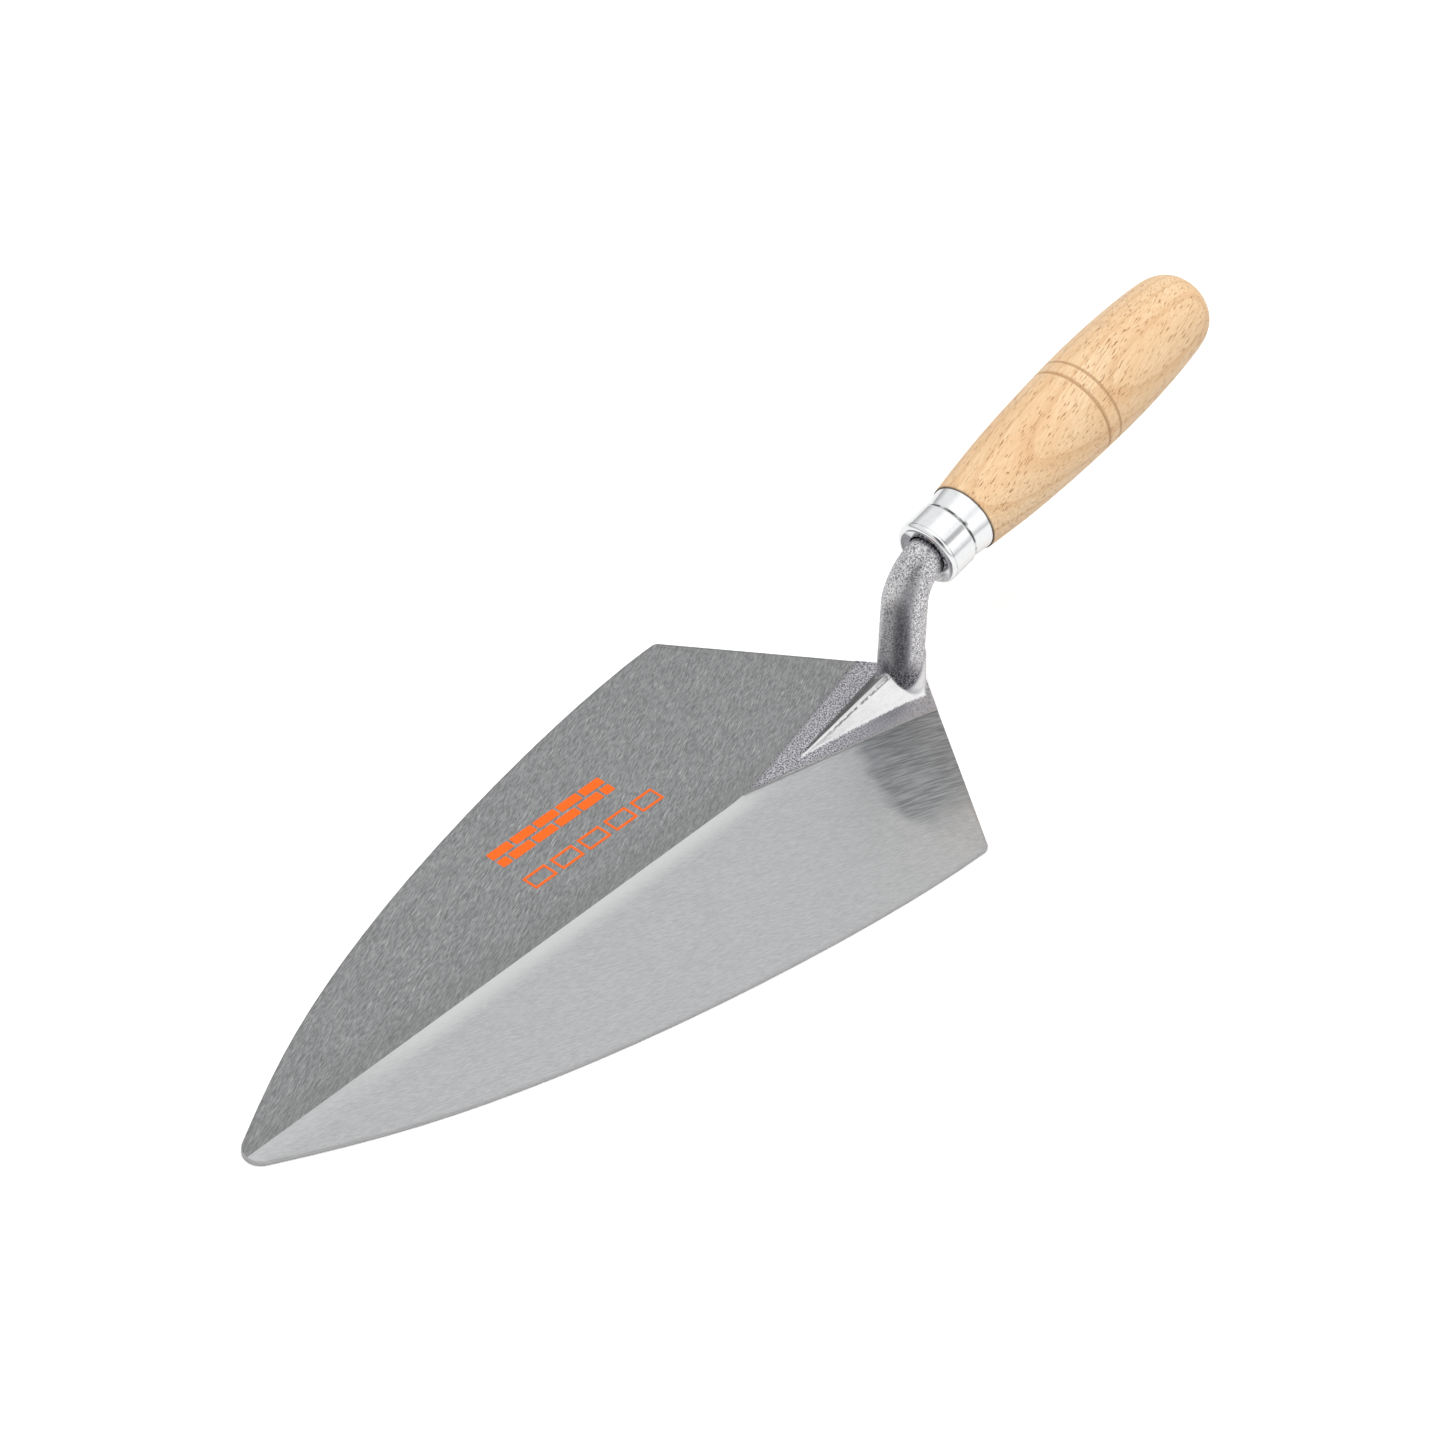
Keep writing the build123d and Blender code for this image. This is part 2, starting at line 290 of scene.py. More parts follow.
def near_half():
    """The +Y half: satin, painted lighter than the far half, with a painted highlight along the ridge and a
    darker brushed patch at the heel.
    """
    # Painted light: the near half's greys are higher than the far half's
    g = GroundSteel("ground_near", angle=-20, dark=0.51, light=0.63, spark=0.12)
    x, y = g.split(g.place)[:2]
    # Painted highlight: a lighter strip along the ridge, past the band and short of the tip
    ridge_highlight = g.fade(y, 8.0, 0.5)
    past_band = g.fade(x, 50.0, 75.0, 0.0, 0.7)
    short_of_tip = g.fade(x, 240.0, 190.0, 0.3, 1.0)
    tone = g.mix(g.product(ridge_highlight, past_band, short_of_tip), g.tone, grey(0.84))

    # The patch's edge leans forwards, bows outwards and wanders
    wander = g.line(g.cells(g.place, 8.0, 8.0, 8.0), 0.0, 1.0, -3.5, 3.5)
    bow = g.math("POWER", g.math("MAXIMUM", g.math("SUBTRACT", y, 20.0), 0.0), 2.0)
    edge = g.total(g.math("SUBTRACT", x, g.product(y, 0.6)), g.product(bow, 0.012), wander)
    patch = g.product(g.fade(edge, 25.5, 19.5), g.fade(g.total(y, wander), 53.0, 37.0))
    brushed = g.cells(g.strokes, 9.0, 0.6, 6.0, detail=3.0, roughness=0.65)
    streaks = g.mix(g.fade(brushed, 0.36, 0.66), grey(0.25, -0.04), grey(0.46, -0.04))
    tone = g.mix(g.product(patch, 0.9), tone, streaks)
    rough = g.total(g.line(g.fine, 0.3, 0.7, 0.36, 0.46), g.product(patch, 0.12))
    g.set(Base_Color=tone, Roughness=rough, Normal=g.bump(g.fine, 0.006))
    return g.material


def grit(g, place):
    """The speckle of grit-blasted scale: fine grains and coarser clots."""
    grains = g.noise(place, scale=2.2, roughness=0.6)
    clots = g.noise(place, scale=1.3, roughness=0.6)
    return g.total(g.product(grains, 0.75), g.product(clots, 0.25))


def band_steel():
    """As-forged scale, speckled, smoother on the near side of the heel."""
    dark_scale, light_scale = (0.15, 0.145, 0.165, 1.0), (0.74, 0.73, 0.77, 1.0)
    dark_smooth, light_smooth = (0.42, 0.425, 0.465, 1.0), (0.64, 0.645, 0.69, 1.0)
    g = Surface("forged_band")
    place = g.point()
    x, y = g.split(place)[:2]
    near = g.fade(y, 0.0, 4.0)
    speckle = grit(g, place)
    tone = g.mix(g.line(speckle, 0.42, 0.57), dark_scale, light_scale)
    smooth = g.mix(g.line(speckle, 0.38, 0.62), dark_smooth, light_smooth)
    tone = g.mix(g.product(near, g.fade(x, 34.0, 12.0, 0.0, 0.85)), tone, smooth)

    # The border is ground away grain by grain, to the grey of the half it lies on, with the halves' painted
    # shade and light
    run, drop = BAND_TIP_X - BAND_HEEL[0], BAND_HEEL[1]
    length = math.hypot(run, drop)
    forward = g.product(g.math("SUBTRACT", BAND_TIP_X, x), drop / length)
    inside = g.math("SUBTRACT", forward, g.product(g.math("ABSOLUTE", y), run / length))
    worn = g.fade(g.total(inside, g.line(speckle, 0.35, 0.65, 1.1, -1.1)), 0.9, 0.3)
    tone = g.mix(worn, tone, g.mix(near, grey(0.36), grey(0.54)))

    # Painted shade: a dark line beside the spine's far face, where the spine shades the band
    from_spine = g.apart(g.beside(place, SPINE_SIDE_START, SPINE_SIDE_END), 0.1)
    crease_shade = g.product(g.fade(from_spine, 1.0, 0.5), g.fade(x, 44.0, 38.0, 0.0, 0.85))
    tone = g.mix(crease_shade, tone, grey(0.13))
    g.set(Metallic=1.0, Base_Color=tone, Roughness=g.line(speckle, 0.3, 0.7, 0.6, 0.42))
    g.set(Normal=g.bump(speckle, 0.06))
    return g.material


def root_steel():
    """Spine and shank: blasted scale, the spine's faces ground bright, painted shade on the spine's far
    face, and painted dark reflection, shade and highlight on the shank.
    """
    dark_blasted, light_blasted = (0.26, 0.255, 0.275, 1.0), (0.97, 0.96, 0.98, 1.0)
    # Greys of the painted dark reflection and shade on the shank
    dark_scale, light_scale = (0.04, 0.038, 0.045, 1.0), (0.42, 0.41, 0.44, 1.0)
    g = Surface("forged_root")
    place = g.point()
    ground, shade, painted_highlight, scale = (g.attribute(name) for name in ("ground", "shade", "painted_highlight", "scale"))
    speckle = grit(g, place)
    blasted = g.mix(g.line(speckle, 0.41, 0.59), dark_blasted, light_blasted)
    # Painted highlight: a speckled bright band down one side of the shank
    blasted = g.mix(g.product(painted_highlight, g.fade(speckle, 0.42, 0.52, 0.0, 0.85)), blasted, grey(0.92))
    strokes = g.cells(place, 5.0, 0.8, 0.8, detail=3.0, roughness=0.6)
    bright = g.mix(g.line(g.total(strokes, speckle), 0.7, 1.3), grey(0.80), grey(0.96))
    tone = g.mix(ground, blasted, bright)
    # Painted shade on the spine's far face
    tone = g.mix(shade, tone, g.mix(g.line(speckle, 0.36, 0.64), grey(0.14), grey(0.26)))

    # Nicks: dashes in a line beside the crest
    x = g.split(place)["X"]
    from_crest = g.beside(place, SPINE_START, SPINE_END)
    from_line = g.apart(from_crest, g.line(x, -8.0, 43.0, 1.05, 0.45))
    dashes = g.fade(g.cells(place, 1.5, 0.6, 0.6, detail=1.0), 0.40, 0.50)
    nicks = g.product(g.fade(from_line, 0.32, 0.12), g.product(dashes, g.fade(x, 38.0, 26.0)), ground)
    tone = g.mix(nicks, tone, grey(0.30))

    # Painted dark reflection and shade on the shank, ragged at the edge
    ragged = g.total(scale, g.line(speckle, 0.3, 0.7, -0.5, 0.5))
    shade_tone = g.mix(g.fade(speckle, 0.46, 0.56), dark_scale, light_scale)
    tone = g.mix(g.fade(ragged, 0.25, 0.80, 0.0, 0.92), tone, shade_tone)
    rough = g.math("SUBTRACT", g.line(speckle, 0.3, 0.7, 0.52, 0.38), g.product(ground, 0.05))
    relief = g.product(speckle, g.line(ground, 0.0, 1.0, 1.0, 0.25))
    g.set(Metallic=1.0, Base_Color=tone, Roughness=rough, Normal=g.bump(relief, 0.07))
    return g.material


def edge_steel():
    """The sawn and filed rim of the blade."""
    g = Surface("blade_edge")
    layers = g.cells(g.point(), 3.0, 3.0, 0.25, detail=3.0)
    g.set(Metallic=1.0, Base_Color=g.mix(g.line(layers, 0.3, 0.7), grey(0.40), grey(0.54)))
    g.set(Roughness=g.line(layers, 0.3, 0.7, 0.4, 0.55), Normal=g.bump(layers, 0.01))
    return g.material


def under_steel():
    """The flat underside: ground lengthwise, with faint rub marks."""
    g = GroundSteel("ground_under", angle=4, dark=0.42, light=0.56, spark=0.3)
    g.set(Base_Color=g.tone, Roughness=g.line(g.fine, 0.3, 0.7, 0.32, 0.45), Normal=g.bump(g.fine, 0.005))
    return g.material


def chrome():
    """Bright plating with faint turned lines, dust in its roughness and painted shade in its seams."""
    g = Surface("plated_ferrule")
    place = g.point()
    side = HANDLE_LINE.cross(Vector((0.0, 1.0, 0.0)))
    turned = g.frame_of(place, HANDLE_LINE, (0.0, 1.0, 0.0), side)
    station = g.math("SUBTRACT", g.split(turned)["X"], KNEE.dot(HANDLE_LINE))
    rings = g.cells(turned, 0.25, 9.0, 9.0, detail=3.0, roughness=0.6)
    dust = g.cells(place, 1.6, 1.6, 1.6, detail=4.0, roughness=0.7)
    patches = g.cells(place, 3.5, 3.5, 3.5, detail=3.0, roughness=0.6)
    tone = g.mix(g.line(dust, 0.3, 0.7), grey(0.90, -0.01), grey(0.97, -0.01))
    # Painted shade: blotched dark lines at the ferrule's step, lip and rear edge
    for seam, half_width, depth in FERRULE_SEAMS:
        near_seam = g.fade(g.apart(station, seam), half_width, half_width * 0.3)
        tone = g.mix(g.product(near_seam, g.fade(patches, 0.42, 0.58, 0.2, depth)), tone, grey(0.05))
    g.set(Metallic=1.0, Base_Color=tone, Normal=g.bump(rings, 0.0015))
    g.set(Roughness=g.line(g.total(rings, dust), 0.7, 1.3, 0.06, 0.15))
    return g.material


def beech():
    """Turned beech: cathedral figure, brown flecks along a grain that runs off the axis, clear lacquer."""
    pale, honey = (0.83, 0.65, 0.43, 1.0), (0.765, 0.53, 0.31, 1.0)
    fibre_tone, late_tone = (0.66, 0.40, 0.20, 1.0), (0.58, 0.33, 0.15, 1.0)
    fleck_tone, groove_tone = (0.34, 0.14, 0.045, 1.0), (0.40, 0.22, 0.10, 1.0)
    pith_depth, ring_width, lean = 34.0, 3.1, math.radians(10)
    g = Surface("turned_beech")
    place = g.vector("SUBTRACT", g.point(), KNEE)
    station = g.dot(place, HANDLE_LINE)
    out = Vector((0.12, 0.40, 0.90))
    out = (out - HANDLE_LINE * out.dot(HANDLE_LINE)).normalized()
    grain = Quaternion(out, lean) @ HANDLE_LINE
    log = g.frame_of(place, grain, out.cross(grain), out)
    across, height = g.split(log)[1:]

    # Growth rings round a pith that lies below the handle
    sway = g.cells(log, 60.0, 14.0, 14.0)
    aside = g.math("POWER", g.total(across, g.product(sway, 4.0)), 2.0)
    above = g.math("POWER", g.total(height, pith_depth), 2.0)
    radius = g.math("SQRT", g.total(aside, above))
    ring = g.math("FRACT", g.math("DIVIDE", g.total(radius, g.product(sway, 2.2)), ring_width))
    late_wood = g.product(g.fade(ring, 0.55, 0.97), g.fade(ring, 1.0, 0.97))

    fibre = g.cells(log, 9.0, 0.35, 0.35, detail=3.0, roughness=0.6)
    cloud = g.cells(log, 45.0, 9.0, 9.0)
    crowd = g.cells(log, 30.0, 5.0, 5.0, detail=1.0)
    fleck_field = g.cells(log, 3.0, 0.34, 0.34, detail=1.0, roughness=0.35)
    flecks = g.fade(g.total(fleck_field, g.product(crowd, 0.16)), 0.705, 0.79)
    tone = g.mix(g.line(cloud, 0.3, 0.7), honey, pale)
    tone = g.mix(g.line(fibre, 0.32, 0.68, 0.8, 0.0), tone, fibre_tone)
    tone = g.mix(g.product(late_wood, 0.42), tone, late_tone)
    tone = g.mix(g.product(flecks, 0.88), tone, fleck_tone)
    for groove in GROOVES:
        tone = g.mix(g.fade(g.apart(station, groove), GROOVE_HALF_WIDTH, 0.2, 0.0, 0.75), tone, groove_tone)

    # Painted shadow where the grip meets the ferrule, and painted shade all over the spigot inside it
    tone = g.mix(g.fade(station, SHOULDER_STATION + 0.8, SHOULDER_STATION, 0.0, 0.8), tone, SHADE_BLACK)
    tone = g.mix(g.fade(station, SPIGOT_STATION, SPIGOT_STATION - 1.0), tone, SHADE_BLACK)
    g.set(Base_Color=tone, Roughness=g.line(fibre, 0.3, 0.7, 0.42, 0.55), Specular_IOR_Level=0.3)
    g.set(Coat_Weight=0.12, Coat_Roughness=0.3)
    pores = g.bump(g.math("SUBTRACT", 1.0, flecks), 0.03)
    g.set(Normal=g.bump(fibre, 0.008, pores))
    return g.material


def orange_ink():
    """Screen ink, a little thin in places."""
    thin_ink, full_ink = (0.62, 0.11, 0.02, 1.0), (0.86, 0.125, 0.008, 1.0)
    g = Surface("orange_ink")
    thin = g.cells(g.point(), 0.5, 0.5, 0.5, detail=3.0)
    g.set(Base_Color=g.mix(g.fade(thin, 0.30, 0.42), thin_ink, full_ink), Specular_IOR_Level=0.2)
    g.set(Roughness=g.line(thin, 0.3, 0.7, 0.5, 0.65), Normal=g.bump(thin, 0.004))
    return g.material


# ---- Meshes
def add_object(name, data):
    """A new object in the scene."""
    made = bpy.data.objects.new(name, data)
    bpy.context.scene.collection.objects.link(made)
    return made


def welded_copy(node):
    """The node's surface as one closed skin, in millimetres."""
    skin = bmesh.new()
    skin.from_mesh(node.data)
    skin.transform(node.matrix_world)
    bmesh.ops.scale(skin, vec=(1 / MM,) * 3, verts=skin.verts[:])
    bmesh.ops.remove_doubles(skin, verts=skin.verts[:], dist=0.001)
    return skin


def cut_away(skin, point, outward):
    """Removes what lies outward of a plane and closes the opening."""
    everything = skin.verts[:] + skin.edges[:] + skin.faces[:]
    bmesh.ops.bisect_plane(skin, geom=everything, plane_co=point, plane_no=outward, clear_outer=True)
    rim = [edge for edge in skin.edges if edge.is_boundary]
    bmesh.ops.holes_fill(skin, edges=rim, sides=0)
    bmesh.ops.triangulate(skin, faces=[face for face in skin.faces if len(face.verts) > 3])


def new_piece(name, skin, materials):
    """A piece from a skin in millimetres, standing for the forging or printed on it."""
    bmesh.ops.scale(skin, vec=(MM,) * 3, verts=skin.verts[:])
    mesh = bpy.data.meshes.new(name)
    skin.to_mesh(mesh)
    skin.free()
    for material in materials:
        mesh.materials.append(material)
    piece = add_object(name, mesh)
    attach(piece, "root")
    return piece


def solved(name, skin, *modifiers):
    """The skin after modifiers, each given as its kind and its settings."""
    mesh = bpy.data.meshes.new(name)
    skin.to_mesh(mesh)
    skin.free()
    holder = add_object(name, mesh)
    for kind, settings in modifiers:
        modifier = holder.modifiers.new(kind, kind)
        for key, value in settings.items():
            setattr(modifier, key, value)
    result = bpy.data.meshes.new_from_object(holder.evaluated_get(bpy.context.evaluated_depsgraph_get()))
    made = bmesh.new()
    made.from_mesh(result)
    bpy.data.objects.remove(holder)
    bpy.data.meshes.remove(mesh)
    bpy.data.meshes.remove(result)
    return made


# ---- The blade
LEVEL = 0.9    # a face whose normal rises or falls this steeply is a top or an underside


def height_over_ground(face):
    """How far the face's centre stands over the ground surface."""
    centre = face.calc_center_median()
    return centre.z - ground_height(centre.x, centre.y)


def ground_tops(skin):
    """The faces of the blade's ground top, without the band's."""
    return [
        face for face in skin.faces
        if face.normal.z > LEVEL and height_over_ground(face) < BAND_LIFT / 2
    ]


def blend_drop(x, y):
    """How far the soft change from ground face to heel bevel lies below the two planes."""
    overlap = max(BEVEL_BLEND - abs(roof(x, y) - heel_bevel(x, y)), 0.0)
    return overlap * overlap / (4 * BEVEL_BLEND)


def blend_bevel(skin):
    """Turns the crease between the ground faces and the heel bevel into a soft change."""
    start = heel_bevel(0, 0) - roof(0, 0)
    along = heel_bevel(1, 0) - roof(1, 0) - start
    across = heel_bevel(0, 1) - roof(0, 1) - start
    for side in (-1, 1):
        for step in range(-4, 5):
            gap = BEVEL_BLEND * step / 4
            mine = [face for face in ground_tops(skin) if face.calc_center_median().y * side > 0]
            geometry = list({item for face in mine for item in (face, *face.edges, *face.verts)})
            place = Vector(((gap - start) / along, 0.0, 0.0))
            outward = Vector((along, across * side, 0.0))
            bmesh.ops.bisect_plane(skin, geom=geometry, plane_co=place, plane_no=outward)
    for vert in {vert for face in ground_tops(skin) for vert in face.verts}:
        vert.co.z -= blend_drop(vert.co.x, vert.co.y)


def mark_rim(skin, tops):
    """Marks the ground top's outer edge with a share for painted shade, which falls to nothing over the
    rim's width.
    """
    steep, smallest_wall, ground_gap = 0.5, 0.01, 0.01
    rim = skin.verts.layers.float.new("rim")
    for vert in {vert for face in tops for vert in face.verts}:
        walls = [
            face for face in vert.link_faces
            if abs(face.normal.z) < steep and face.calc_area() > smallest_wall
        ]
        vert[rim] = float(any(min(corner.co.z for corner in wall.verts) < ground_gap for wall in walls))
    bmesh.ops.inset_region(skin, faces=tops, thickness=RIM_WIDTH, use_boundary=True, use_even_offset=True)
    for face in tops:
        for vert in face.verts:
            vert[rim] = 0.0


def make_blade(node):
    """The blade and its as-forged band, with the rim's corners broken."""
    slack, flat, lowest_band_wall = 0.02, math.radians(0.2), 1.8
    skin = welded_copy(node)
    raised = [
        face for face in skin.faces
        if any(vert.co.z > band_top(vert.co.x, vert.co.y) + slack for vert in face.verts)
    ]
    bmesh.ops.delete(skin, geom=raised, context="FACES")
    bmesh.ops.dissolve_limit(skin, angle_limit=flat, verts=skin.verts[:], edges=skin.edges[:])
    blend_bevel(skin)
    mark_rim(skin, ground_tops(skin))

    far, near, band, edge, under = range(5)
    for face in skin.faces:
        centre = face.calc_center_median()
        lift = height_over_ground(face)
        if face.normal.z < -LEVEL:
            face.material_index = under
        elif face.normal.z > LEVEL and lift > BAND_LIFT / 2:
            face.material_index = band
        elif face.normal.z > LEVEL:
            face.material_index = near if centre.y > 0 else far
        elif centre.z > lowest_band_wall and lift > 0:
            face.material_index = band
        else:
            face.material_index = edge
        face.smooth = True
    materials = [far_half(), near_half(), band_steel(), edge_steel(), under_steel()]
    piece = new_piece("ground_blade", skin, materials)
    bevel = piece.modifiers.new("broken_corners", "BEVEL")
    bevel.width = BROKEN_CORNER * MM
    bevel.segments = 3
    bevel.limit_method = "ANGLE"
    bevel.angle_limit = math.radians(40)
    bevel.harden_normals = True
    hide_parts(node.name)
    return piece


# ---- The spine, shank and neck
def root_finish(place, normal):
    """How far each finish and painted mark reaches at a point of the root: ground, painted shade, painted
    highlight, and, under scale, painted dark reflection and shade on the shank.
    """
    spine_height = 11.0
    lift = place.z - band_top(place.x, place.y)
    from_foot = place - SHANK_FOOT
    from_shank = (from_foot - SHANK_LINE * from_foot.dot(SHANK_LINE)).length
    on_spine = smoothstep(SHANK_RADIUS + 0.1, SHANK_RADIUS + 0.6, from_shank) * (lift < spine_height)
    on_shank = (1.0 - on_spine) * smoothstep(0.3, 1.0, lift)
    ahead = smoothstep(-8.0, -4.0, place.x)
    crest = SPINE_START[1] + (place.x - SPINE_START[0]) * CREST_DRIFT
    front = normal.dot(DARK_REFLECTION_SIDE)
    # Painted dark reflection: a streak down one side of the shank, stronger towards its foot
    dark_reflection = smoothstep(0.80, 1.0, front) * (0.44 + 0.30 * smoothstep(56.0, 24.0, place.z))
    # Painted shade on the front of the shank's foot
    foot_shade = smoothstep(21.0, 8.0, place.z) * smoothstep(0.25, 0.85, front) * 0.95
    # Painted shade on the side turned from the light
    left = smoothstep(0.70, 1.0, normal.dot(SHADED_SIDE)) * 0.2
    # Painted shadow where the neck goes into the ferrule's mouth
    mouth_shadow = smoothstep(7.4, 8.8, (place - KNEE).dot(HANDLE_LINE))
    return {
        "ground": on_spine * ahead * smoothstep(0.08, 0.22, lift),
        "shade": on_spine * smoothstep(-0.5, -0.9, place.y - crest),
        # painted highlight on the shank's side facing its direction
        "painted_highlight": on_shank * smoothstep(0.86, 0.97, normal.dot(HIGHLIGHT_SIDE)),
        "scale": on_shank * max(dark_reflection, foot_shade, left, mouth_shadow),
    }


def make_root(node):
    """Spine, shank and neck, remade as one skin with soft fillets and a forged unevenness."""
    inside_heel, inside_band, base_height, neck_length = 0.25, 0.5, 0.4, 12.0
    skin = welded_copy(node)
    heel_edge = Vector((SHOULDER[0] - HEEL_X, SHOULDER[1], 0.0)).normalized()
    band_edge = Vector((BAND_TIP_X - BAND_HEEL[0], -BAND_HEEL[1], 0.0)).normalized()
    for side in (-1, 1):
        heel_out = Vector((-heel_edge.y, heel_edge.x * side, 0.0))
        band_out = Vector((-band_edge.y, band_edge.x * side, 0.0))
        cut_away(skin, Vector((HEEL_X, 0.0, 0.0)) - heel_out * inside_heel, heel_out)
        cut_away(skin, Vector((BAND_TIP_X, 0.0, 0.0)) - band_out * inside_band, band_out)
    cut_away(skin, Vector((0.0, 0.0, base_height)), Vector((0.0, 0.0, -1.0)))
    cut_away(skin, KNEE + HANDLE_LINE * neck_length, HANDLE_LINE)
    skin = solved(
        "root_blank", skin,
        ("REMESH", {"mode": "VOXEL", "voxel_size": 0.28}),
        ("SMOOTH", {"factor": 0.5, "iterations": 3}),
    )

    # The forged unevenness fades to nothing at the band, and the root's foot sinks just below it
    wave_scale, wave_height, foot_sink, hidden_depth = 0.22, 0.05, 0.03, 0.15
    for vert in skin.verts:
        place = vert.co.copy()
        clear = smoothstep(0.0, 0.5, place.z - band_top(place.x, place.y))
        wave = noise.fractal(place * wave_scale, 1.0, 2.0, 3) * wave_height
        vert.co = place + vert.normal * wave * clear
        vert.co.z -= foot_sink * (1.0 - clear)
    sunk = [
        face for face in skin.faces
        if all(vert.co.z < band_top(vert.co.x, vert.co.y) - hidden_depth for vert in face.verts)
    ]
    bmesh.ops.delete(skin, geom=sunk, context="FACES")
    layers = {name: skin.verts.layers.float.new(name) for name in ("ground", "shade", "painted_highlight", "scale")}
    for vert in skin.verts:
        for name, value in root_finish(vert.co, vert.normal).items():
            vert[layers[name]] = value
    for face in skin.faces:
        face.smooth = True
    piece = new_piece("forged_root", skin, [root_steel()])
    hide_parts(node.name)
    return piece


# ---- The printed mark
def rounded_bar(skin, start, end, height, corner):
    """A flat bar with rounded corners, in the mark's own plane: x along the row, y down the row."""
    outline = []
    inner = [
        (end[0] - corner, end[1] + height - corner, 0),
        (start[0] + corner, start[1] + height - corner, 90),
        (start[0] + corner, start[1] + corner, 180),
        (end[0] - corner, end[1] + corner, 270),
    ]
    for x, y, turn in inner:
        for step in range(4):
            angle = math.radians(turn + step * 30)
            outline.append(skin.verts.new((x + corner * math.cos(angle), y + corner * math.sin(angle), 0.0)))
    return skin.faces.new(outline)


def solid_courses(skin):
    """Two courses of solid bricks, the second set off by half a brick."""
    joint, brick, course = 0.9, 8.6, 3.0
    row_start, row_end, shortest = 0.0, 46.6, 1.5
    for row in range(2):
        top = row * (course + joint)
        x = row_start - (brick + joint) / 2 * row
        while x < row_end:
            left, right = max(x, row_start), min(x + brick, row_end)
            if right - left > shortest:
                rounded_bar(skin, (left, top), (right, top), course, 0.35)
            x += brick + joint


def open_bricks(skin):
    """A row of five bricks drawn in outline below them."""
    line, top, tall, wide, space, gap = 0.85, 13.6, 5.4, 9.0, 2.2, 0.01
    x = -0.2
    for _ in range(5):
        for y in (top, top + tall - line):
            rounded_bar(skin, (x, y), (x + wide, y), line, 0.3)
        start, height = top + line + gap, tall - 2 * line - 2 * gap
        for left in (x, x + wide - line):
            rounded_bar(skin, (left, start), (left + line, start), height, 0.05)
        x += wide + space


def make_mark():
    """A plain printed pattern of bricks in place of any name, laid just over the blade's far half."""
    skin = bmesh.new()
    solid_courses(skin)
    open_bricks(skin)
    bmesh.ops.triangulate(skin, faces=skin.faces[:])
    long_edges = [edge for edge in skin.edges if edge.calc_length() > 2.0]
    bmesh.ops.subdivide_edges(skin, edges=long_edges, cuts=3)
    for vert in skin.verts:
        x, y = MARK_CORNER[0] - vert.co.x, MARK_CORNER[1] + vert.co.y
        vert.co = Vector((x, y, roof(x, y) + INK_THICKNESS))
    for face in skin.faces:
        face.normal_update()
        if face.normal.z < 0:
            face.normal_flip()
    return new_piece("printed_mark", skin, [orange_ink()])


blade_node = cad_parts["blade_and_tang"]
make_blade(blade_node)
make_root(blade_node)
make_mark()

for node_name, material in (("ferrule", chrome()), ("handle", beech())):
    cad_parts[node_name].data.materials[0] = material

# ---- Stage
FLOOR_HALF_SIZE = 8.0
FLOOR_HEIGHT = -0.0003
floor_square = [(-1, -1), (1, -1), (1, 1), (-1, 1)]
floor_corners = [(x * FLOOR_HALF_SIZE, y * FLOOR_HALF_SIZE, FLOOR_HEIGHT) for x, y in floor_square]
floor_mesh = bpy.data.meshes.new("floor")
floor_mesh.from_pydata(floor_corners, [], [(0, 1, 2, 3)])
floor = add_object("floor", floor_mesh)
paint = Surface("floor_paint")
looked_at = paint.to_camera()    # the camera sees the floor a little brighter than the trowel does
paint.set(Base_Color=paint.mix(looked_at, grey(0.75), grey(0.93)), Roughness=0.9, Specular_IOR_Level=0.1)
paint.set(Emission_Color=WHITE, Emission_Strength=paint.product(looked_at, 0.17))
floor_mesh.materials.append(paint.material)

CAMERA_PLACE = Vector((0.81631, 0.52857, 0.80482))
CAMERA_AIM = Vector((0.04618, -0.02579, 0.0))
CAMERA_ROLL = math.radians(6.645)
camera_data = bpy.data.cameras.new("camera")
camera_data.sensor_width = 36.0
camera_data.lens = 107.85
camera_data.clip_start = 0.05
camera_data.clip_end = 50.0
camera = add_object("camera", camera_data)
bpy.context.scene.camera = camera
camera.rotation_mode = "QUATERNION"
camera.location = CAMERA_PLACE
aim = (CAMERA_AIM - CAMERA_PLACE).to_track_quat("-Z", "Y")
camera.rotation_quaternion = aim @ Quaternion((0.0, 0.0, 1.0), CAMERA_ROLL)

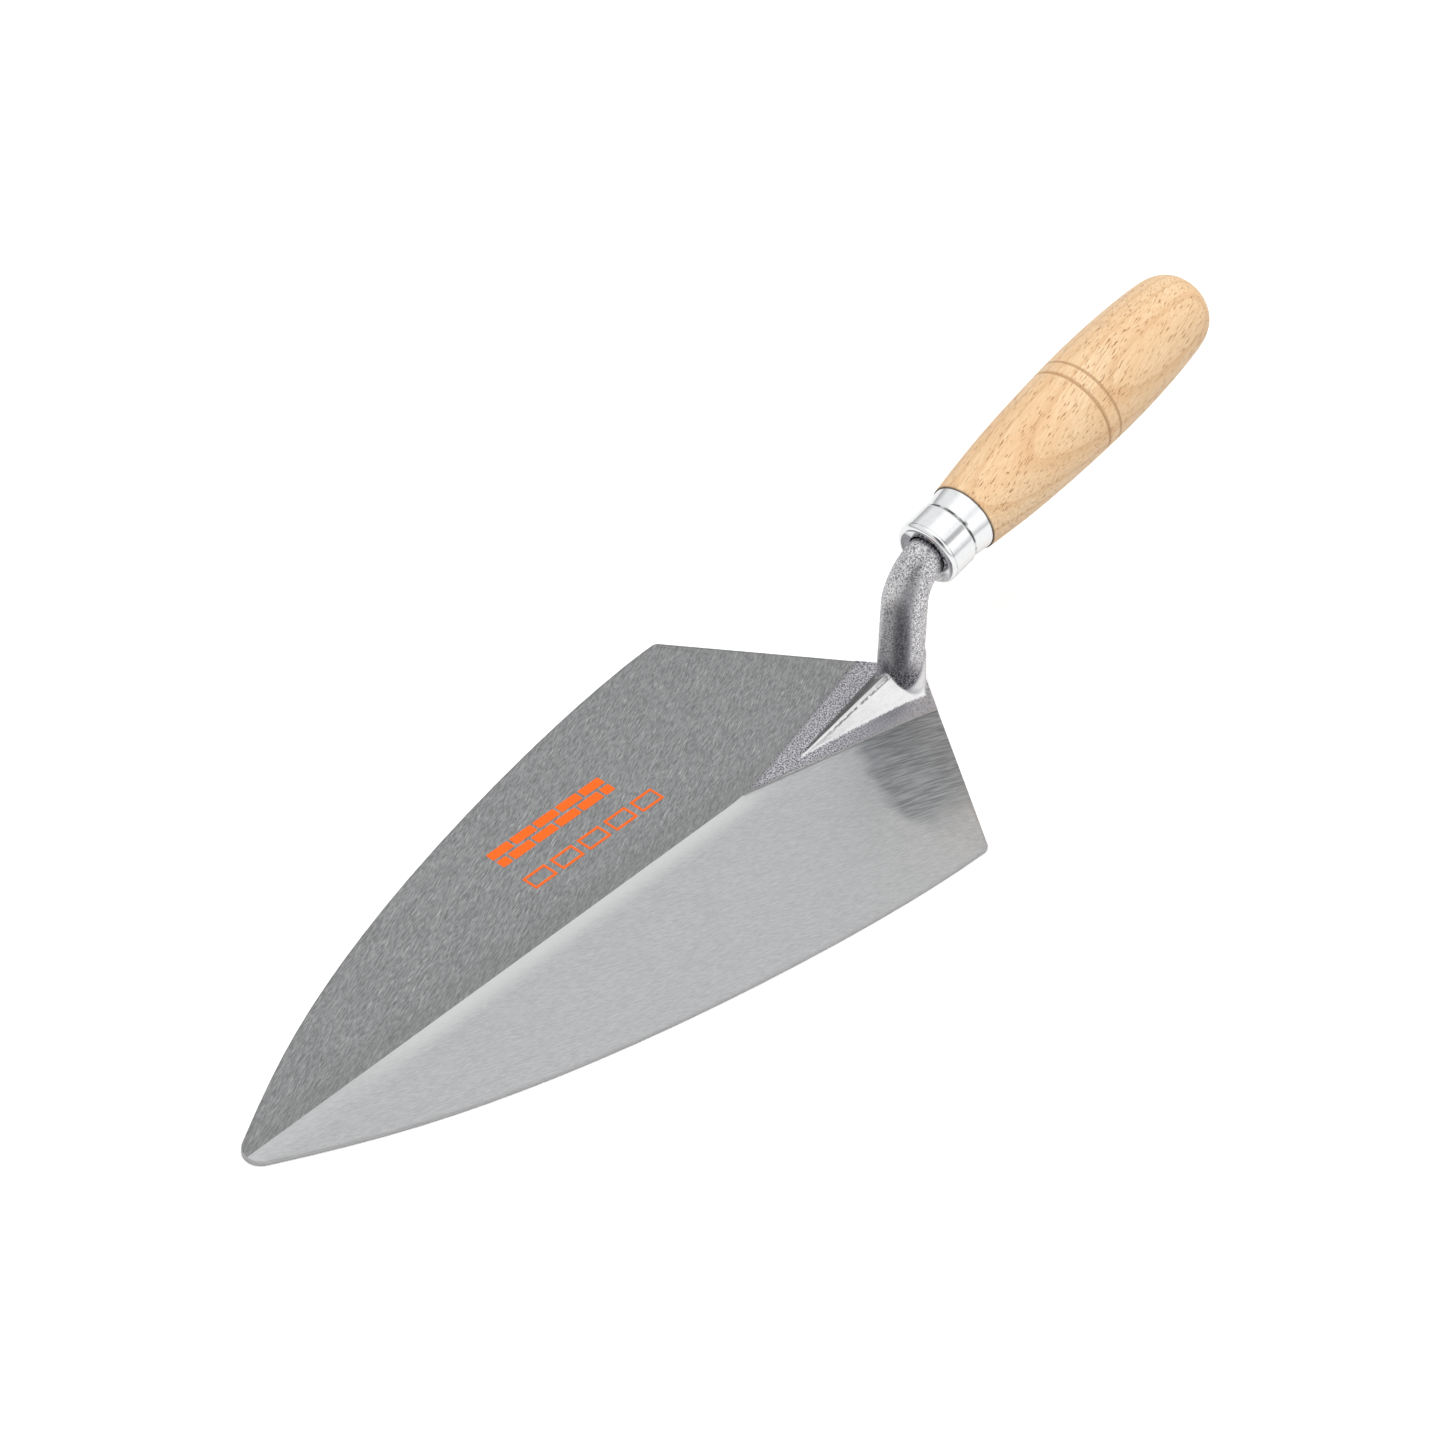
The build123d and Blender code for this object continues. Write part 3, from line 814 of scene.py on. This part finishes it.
# Where the sky is brighter or dimmer: a direction, the outer and inner angle in degrees, the factor within
SKY_PATCHES = (
    ((-0.45, 0.86, 0.22), 50, 15, 1.55),
    ((0.0, 0.0, 1.0), 40, 12, 1.35),
    (CAMERA_PLACE - CAMERA_AIM, 30, 12, 0.12),
    ((-0.30, 0.66, 0.69), 12, 1, 0.40),
)


class Sky(Nodes):
    """The studio round the object: a pale tent, dimmer near the horizon and dark behind the camera."""

    def __init__(self, world):
        super().__init__(world.node_tree)
        self.way = self.node("ShaderNodeTexCoord").outputs["Generated"]

    def toward(self, direction, reach, core, to_core):
        """One far from a direction, to_core within its core, by angles in degrees."""
        facing = self.dot(self.way, Vector(direction).normalized())
        outer, inner = math.cos(math.radians(reach)), math.cos(math.radians(core))
        return self.fade(facing, outer, inner, 1.0, to_core)

    def paint(self):
        """The sky's light on the trowel, and plain white where the camera sees it."""
        light = self.fade(self.split(self.way)["Z"], -0.02, 0.5, 0.42, 0.84)
        light = self.product(light, *(self.toward(*patch) for patch in SKY_PATCHES))
        backdrop = self.to_camera()
        strength = self.total(self.product(light, self.math("SUBTRACT", 1.0, backdrop)), backdrop)
        background = self.tree.nodes["Background"]
        self.feed(background.inputs["Strength"], strength)
        background.inputs["Color"].default_value = WHITE


def softbox(name, place, target, size, power):
    """A large rectangular light, given by the point it stands at and the point it faces."""
    light = bpy.data.lights.new(name, "AREA")
    light.shape = "RECTANGLE"
    light.size, light.size_y = size
    light.energy = power
    lamp = add_object(name, light)
    lamp.location = place
    lamp.rotation_euler = (Vector(target) - Vector(place)).to_track_quat("-Z", "Y").to_euler()
    lamp.visible_camera = False
    lamp.visible_glossy = False
    return lamp


LIT_POINT = (0.05, 0.0, 0.0)
softbox("key_box", place=(0.9, 0.3, 1.7), target=LIT_POINT, size=(1.5, 1.5), power=15.0)
softbox("top_box", place=(-0.5, 0.2, 1.9), target=LIT_POINT, size=(1.6, 1.6), power=9.0)

studio = bpy.data.worlds.new("studio")
bpy.context.scene.world = studio
studio.use_nodes = True
Sky(studio).paint()

bpy.context.scene.view_settings.view_transform = "Standard"
bpy.context.scene.view_settings.look = "None"
